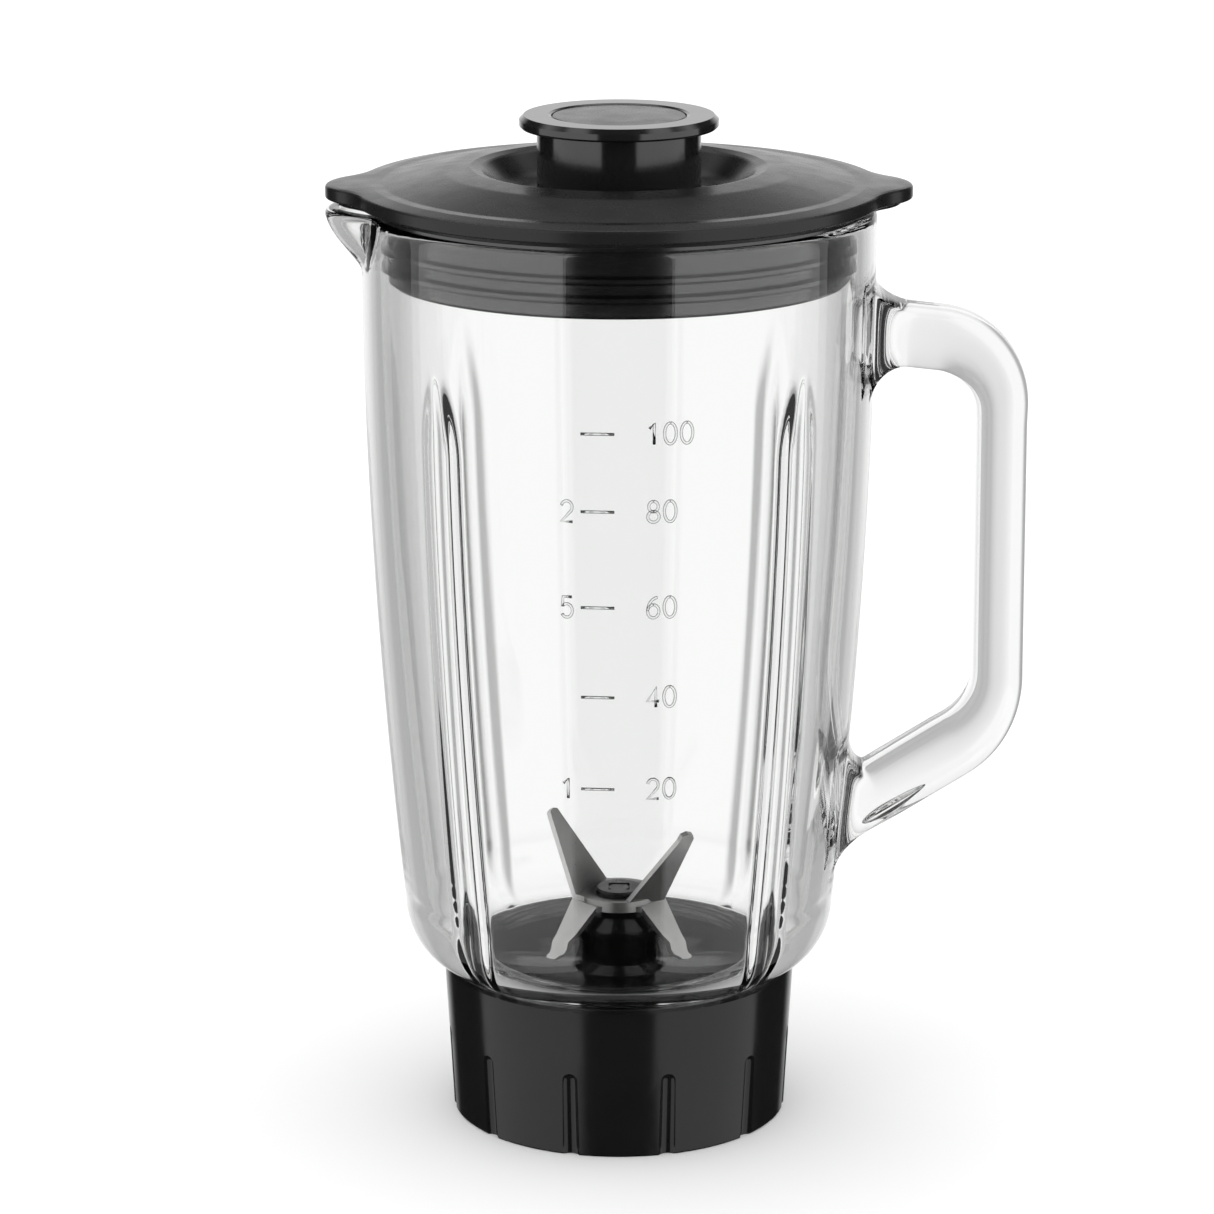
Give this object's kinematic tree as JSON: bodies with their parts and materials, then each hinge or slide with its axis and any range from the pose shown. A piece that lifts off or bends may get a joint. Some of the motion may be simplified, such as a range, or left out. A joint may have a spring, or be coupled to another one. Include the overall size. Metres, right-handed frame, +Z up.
{
  "type": "blender jug assembly",
  "caption": "Glass blender jug with spout and loop handle, tabbed lid with filler cap, and a screw-on foot collar that carries a turning blade unit.",
  "frame": {"origin": "centre of the foot collar's rest face, where the drive unit's socket opens", "axes": "+Z up along the jug's axis, +X towards the handle, -X towards the spout"},
  "size_m": [0.1906, 0.143, 0.2798],
  "materials": {
    "gloss_black": "polished black moulding",
    "black_moulding": "semi-gloss black moulding",
    "satin_black": "satin dark grey moulding",
    "seal_rubber": "smooth glossy seal",
    "black_rubber": "matt",
    "steel": "turned",
    "blade_steel": "fine ground",
    "bronze": "sintered",
    "clear_glass": "clear pressed glass"
  },
  "bodies": {
    "base": {"base_collar": "gloss_black", "blade_carrier": "black_moulding", "bearing_sleeve": "steel", "upper_bush": "bronze", "lower_bush": "bronze", "shaft_seal": "black_rubber"},
    "rotor": {"drive_shaft": "steel", "upper_thrust_washer": "steel", "lower_thrust_washer": "steel", "retaining_clip": "steel", "blade_spacer": "black_moulding", "lower_blade": "blade_steel", "upper_blade": "blade_steel", "blade_nut": "blade_steel", "coupling_insert": "steel", "drive_coupling": "black_rubber"},
    "gasket": {"jar_gasket": "black_rubber"},
    "jar": {"glass_jar": "clear_glass"},
    "lid": {"lid": "satin_black", "lid_seal": "seal_rubber"},
    "cap": {"filler_cap": "gloss_black", "cap_top_disc": "satin_black", "cap_seal": "black_rubber"}
  },
  "joints": [
    {"name": "blade_spin", "type": "hinge", "parent": "base", "child": "rotor", "pos_m": [0, 0, 0.04], "axis": [0, 0, 1], "continuous": true},
    {"name": "jar_lift", "type": "slide", "parent": "base", "child": "gasket", "axis": [0, 0, 1], "range_m": [0, 0.01205]},
    {"name": "jar_unscrew", "type": "hinge", "parent": "gasket", "child": "jar", "pos_m": [0, 0, 0.04], "axis": [0, 0, 1], "range_deg": [0, 720]},
    {"name": "lid_lift", "type": "slide", "parent": "jar", "child": "lid", "axis": [0, 0, 1], "range_m": [0, 0.06]},
    {"name": "cap_lift", "type": "slide", "parent": "lid", "child": "cap", "axis": [0, 0, 1], "range_m": [0, 0.045]}
  ],
  "couplings": [
    {"joint": "jar_lift", "follows": "jar_unscrew", "m_per_rad": 0.00095493}
  ]
}
